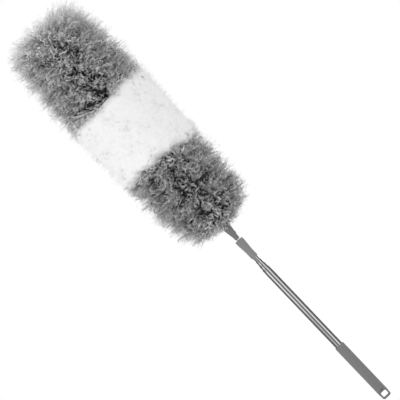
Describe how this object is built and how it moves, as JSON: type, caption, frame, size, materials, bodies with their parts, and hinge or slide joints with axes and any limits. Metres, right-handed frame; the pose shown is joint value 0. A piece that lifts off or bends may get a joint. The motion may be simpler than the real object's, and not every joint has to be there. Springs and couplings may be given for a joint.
{
  "type": "telescopic duster",
  "caption": "Long-reach duster: a grip with a hanging window, a telescoping steel pole and a bendable round head of fluff in grey and white bands.",
  "frame": {"origin": "middle of the hand grip, on the pole's axis, where a hand holds the duster", "axes": "+Z along the pole towards the head; the hanging window in the grip's end runs along Y; +X is the side that the head bends to in the positive direction"},
  "size_m": [0.1485, 0.1501, 0.7714],
  "materials": {
    "grey_plastic": "satin",
    "black_plastic": "satin",
    "tube_steel": "polished",
    "wire_steel": "satin",
    "brass": "satin",
    "grey_fibre": "matte",
    "white_fibre": "matte"
  },
  "bodies": {
    "handle": {"hand_grip": "grey_plastic", "tube_end_plug": "black_plastic", "outer_tube": "tube_steel"},
    "spring_2": {"friction_spring_2": "wire_steel"},
    "section_2": {"tube_2": "tube_steel", "bush_2": "black_plastic"},
    "spring_3": {"friction_spring_3": "wire_steel"},
    "section_3": {"tube_3": "tube_steel", "bush_3": "black_plastic"},
    "spring_4": {"friction_spring_4": "wire_steel"},
    "head_base": {"tube_4": "tube_steel", "bush_4": "black_plastic", "tube_insert": "brass", "collar": "grey_plastic", "washer": "tube_steel", "stud": "wire_steel", "neck": "grey_plastic", "neck_insert": "brass", "core_wire_base_a": "wire_steel", "core_wire_base_b": "wire_steel", "base_fluff": "grey_fibre"},
    "head_middle": {"core_wire_middle_a": "wire_steel", "core_wire_middle_b": "wire_steel", "middle_fluff": "white_fibre"},
    "head_tip": {"core_wire_tip_a": "wire_steel", "core_wire_tip_b": "wire_steel", "tip_cap": "black_plastic", "tip_fluff": "grey_fibre"}
  },
  "joints": [
    {"name": "extend_2", "type": "slide", "parent": "handle", "child": "spring_2", "axis": [0, 0, 1], "range_m": [0, 0.22]},
    {"name": "turn_2", "type": "hinge", "parent": "spring_2", "child": "section_2", "pos_m": [0, 0, 0], "axis": [0, 0, 1], "continuous": true},
    {"name": "extend_3", "type": "slide", "parent": "section_2", "child": "spring_3", "axis": [0, 0, 1], "range_m": [0, 0.208]},
    {"name": "turn_3", "type": "hinge", "parent": "spring_3", "child": "section_3", "pos_m": [0, 0, 0], "axis": [0, 0, 1], "continuous": true},
    {"name": "extend_4", "type": "slide", "parent": "section_3", "child": "spring_4", "axis": [0, 0, 1], "range_m": [0, 0.195]},
    {"name": "turn_4", "type": "hinge", "parent": "spring_4", "child": "head_base", "pos_m": [0, 0, 0], "axis": [0, 0, 1], "continuous": true},
    {"name": "bend_lower", "type": "hinge", "parent": "head_base", "child": "head_middle", "pos_m": [0, 0, 0.442], "axis": [0, 1, 0], "range_deg": [-45, 45], "deforming": ["base_fluff", "middle_fluff"]},
    {"name": "bend_upper", "type": "hinge", "parent": "head_middle", "child": "head_tip", "pos_m": [0, 0, 0.556], "axis": [0, 1, 0], "range_deg": [-45, 45], "deforming": ["tip_fluff"]}
  ]
}
